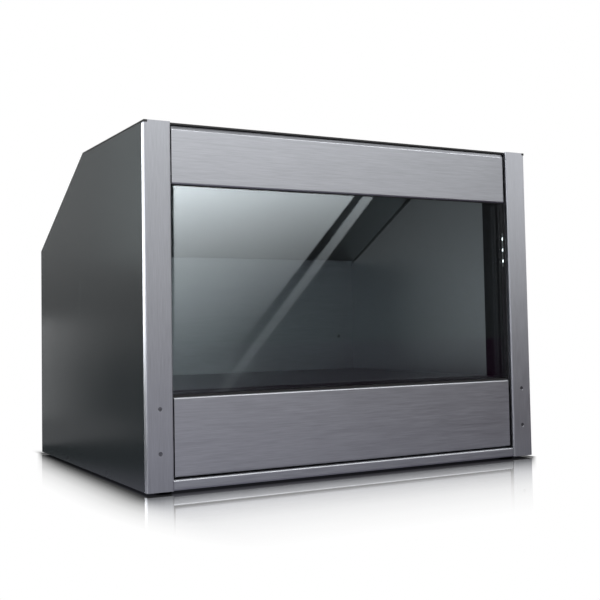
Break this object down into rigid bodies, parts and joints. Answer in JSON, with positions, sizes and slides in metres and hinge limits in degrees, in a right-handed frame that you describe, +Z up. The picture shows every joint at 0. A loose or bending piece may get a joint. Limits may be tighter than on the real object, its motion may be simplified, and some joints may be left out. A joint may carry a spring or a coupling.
{
  "type": "heated countertop display cabinet",
  "caption": "Insulated countertop food display warmer with a double-glazed front, folded corner posts and a lift-up lid on its sloping rear.",
  "frame": {"origin": "on the counter, under the middle of the case", "axes": "+X along the width, to the right of someone facing the glass; +Y from the glass to the back; +Z up"},
  "size_m": [0.8, 0.64, 0.6],
  "materials": {
    "post_steel": "satin",
    "fascia_steel": "satin",
    "side_paint": "satin",
    "top_steel": "satin",
    "liner_steel": "satin",
    "galvanised": "matte",
    "black_trim": "satin",
    "black_rubber": "matte",
    "glass": "gloss",
    "spacer_metal": "matte",
    "foam": "matte",
    "heater_steel": "matte",
    "blower_metal": "satin",
    "motor_paint": "satin",
    "wheel_alloy": "satin",
    "lamp_board": "satin",
    "lens": "gloss",
    "control_black": "satin",
    "button_grey": "satin",
    "button_red": "satin",
    "rocker_red": "gloss",
    "hinge_steel": "satin",
    "screw_steel": "satin",
    "handle_steel": "polished"
  },
  "bodies": {
    "cabinet": {"base_pan": "galvanised", "feet": "black_rubber", "left_side_panel": "side_paint", "right_side_panel": "side_paint", "left_corner_post": "post_steel", "right_corner_post": "post_steel", "top_fascia": "fascia_steel", "bottom_fascia": "fascia_steel", "bottom_rail": "fascia_steel", "top_panel": "top_steel", "left_edge_trim": "black_trim", "right_edge_trim": "black_trim", "top_edge_trim": "black_trim", "rear_panel": "galvanised", "louvre_cover": "top_steel", "control_niche": "galvanised", "rear_sill": "black_trim", "left_liner": "liner_steel", "right_liner": "liner_steel", "rear_liner": "liner_steel", "ceiling_liner": "liner_steel", "display_deck": "liner_steel", "left_breaker": "black_trim", "right_breaker": "black_trim", "front_breaker": "black_trim", "window_gasket": "black_rubber", "outer_glass": "glass", "inner_glass": "glass", "glass_spacer": "spacer_metal", "left_insulation": "foam", "right_insulation": "foam", "rear_insulation": "foam", "ceiling_insulation": "foam", "floor_insulation": "foam", "plenum_tray": "galvanised", "led_modules": "lamp_board", "led_lenses": "lens", "heater_element": "heater_steel", "blower_housing": "blower_metal", "blower_motor": "motor_paint", "temperature_probe": "blower_metal", "temperature_controller": "control_black", "rocker_frame": "control_black", "power_inlet": "control_black", "hinge_fixed_leaf": "hinge_steel", "hinge_pin": "hinge_steel", "cabinet_screws": "screw_steel"},
    "lid": {"lid_skin": "top_steel", "lid_pan": "liner_steel", "lid_foam": "foam", "lid_gasket": "black_rubber", "lid_handle": "handle_steel", "lid_screws": "screw_steel", "hinge_moving_leaf": "hinge_steel"},
    "blower_wheel": {"blower_wheel": "wheel_alloy"},
    "set_button": {"set_button": "button_red"},
    "up_button": {"up_button": "button_grey"},
    "down_button": {"down_button": "button_grey"},
    "rocker": {"rocker_paddle": "rocker_red"}
  },
  "joints": [
    {"name": "lid_hinge", "type": "hinge", "parent": "cabinet", "child": "lid", "pos_m": [0, 0.011, 0.5966], "axis": [1, 0, 0], "range_deg": [0, 100]},
    {"name": "wheel_spin", "type": "hinge", "parent": "cabinet", "child": "blower_wheel", "pos_m": [0, 0.13, 0.091], "axis": [1, 0, 0], "continuous": true},
    {"name": "set_button_press", "type": "slide", "parent": "cabinet", "child": "set_button", "axis": [0, -1, 0], "range_m": [0, 0.001], "stiffness_N_per_m": 350},
    {"name": "up_button_press", "type": "slide", "parent": "cabinet", "child": "up_button", "axis": [0, -1, 0], "range_m": [0, 0.001], "stiffness_N_per_m": 350},
    {"name": "down_button_press", "type": "slide", "parent": "cabinet", "child": "down_button", "axis": [0, -1, 0], "range_m": [0, 0.001], "stiffness_N_per_m": 350},
    {"name": "rocker_tilt", "type": "hinge", "parent": "cabinet", "child": "rocker", "pos_m": [-0.22, 0.2992, 0.074], "axis": [1, 0, 0], "range_deg": [-14, 0]}
  ]
}
